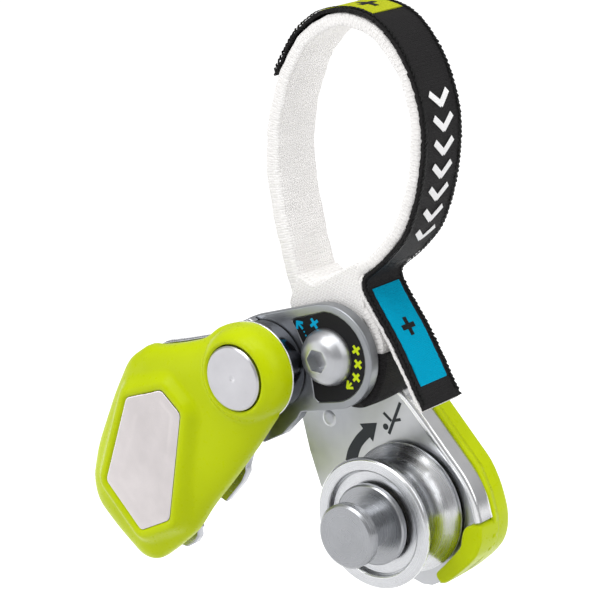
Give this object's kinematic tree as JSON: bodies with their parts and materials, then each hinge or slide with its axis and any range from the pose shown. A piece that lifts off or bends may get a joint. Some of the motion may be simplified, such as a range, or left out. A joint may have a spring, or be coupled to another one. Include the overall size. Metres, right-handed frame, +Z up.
{
  "type": "rope descender",
  "caption": "Compact rope descender with a free-turning grooved sheave, a swinging covered cheek with a push-button release and a sewn webbing eye to hang it by, shown open.",
  "frame": {"origin": "inside top of the sling eye, halfway across the webbing", "axes": "+Z up towards the anchor, +X right when facing the button side, +Y from the button side to the back cover, along the sheave axis"},
  "size_m": [0.1007, 0.0428, 0.1419],
  "materials": {
    "webbing": "woven polyamide, undyed",
    "black_tape": "woven tape, sewn on",
    "blue_label": "woven label",
    "green_label": "woven label",
    "lime_plastic": "moulded, satin gloss",
    "plate_steel": "satin ground",
    "cast_steel": "satin, tumbled edges",
    "turned_steel": "fine turned",
    "polished_steel": "mirror polished",
    "dark_collar": "dark, bright polished",
    "black_paint": "matt filled recess",
    "bush_brass": "plain bearing",
    "spring_steel": "drawn wire"
  },
  "bodies": {
    "sling": {"sling_webbing": "webbing", "sling_tape": "black_tape", "tab_backing": "webbing", "label_blue": "blue_label", "label_green": "green_label", "strap_keeper": "black_tape"},
    "frame": {"base_plate": "plate_steel", "base_cover": "lime_plastic", "back_plate": "polished_steel", "hanger_bracket": "cast_steel", "bracket_label": "black_paint", "hanger_bolt": "turned_steel", "bolt_sleeve": "turned_steel", "hanger_nut": "turned_steel", "pivot_axle": "turned_steel", "axle_nut": "turned_steel", "lock_stud": "turned_steel", "stud_nut": "turned_steel", "plate_rivet": "turned_steel"},
    "sheave": {"rope_sheave": "turned_steel", "sheave_bush": "bush_brass"},
    "swing_cheek": {"cheek_plate": "plate_steel", "cheek_collar": "dark_collar", "cheek_cover": "lime_plastic", "cheek_window": "polished_steel", "pivot_bush": "bush_brass", "cheek_spacer": "dark_collar", "cheek_post": "turned_steel", "button_spring": "spring_steel"},
    "button": {"release_button": "turned_steel", "lock_dog": "turned_steel"}
  },
  "joints": [
    {"name": "hanger_hinge", "type": "hinge", "parent": "sling", "child": "frame", "pos_m": [-0.0006, 0, -0.0764], "axis": [0, 1, 0], "range_deg": [-10, 4]},
    {"name": "cheek_swing", "type": "hinge", "parent": "frame", "child": "swing_cheek", "pos_m": [-0.018, 0, -0.0818], "axis": [0, -1, 0], "range_deg": [0, 90]},
    {"name": "sheave_spin", "type": "hinge", "parent": "frame", "child": "sheave", "pos_m": [0.009, 0.0008, -0.117], "axis": [0, 1, 0], "continuous": true},
    {"name": "button_push", "type": "slide", "parent": "swing_cheek", "child": "button", "axis": [0, 1, 0], "range_m": [0, 0.002], "stiffness_N_per_m": 800, "springref_m": -0.003, "deforming": ["button_spring"]}
  ]
}
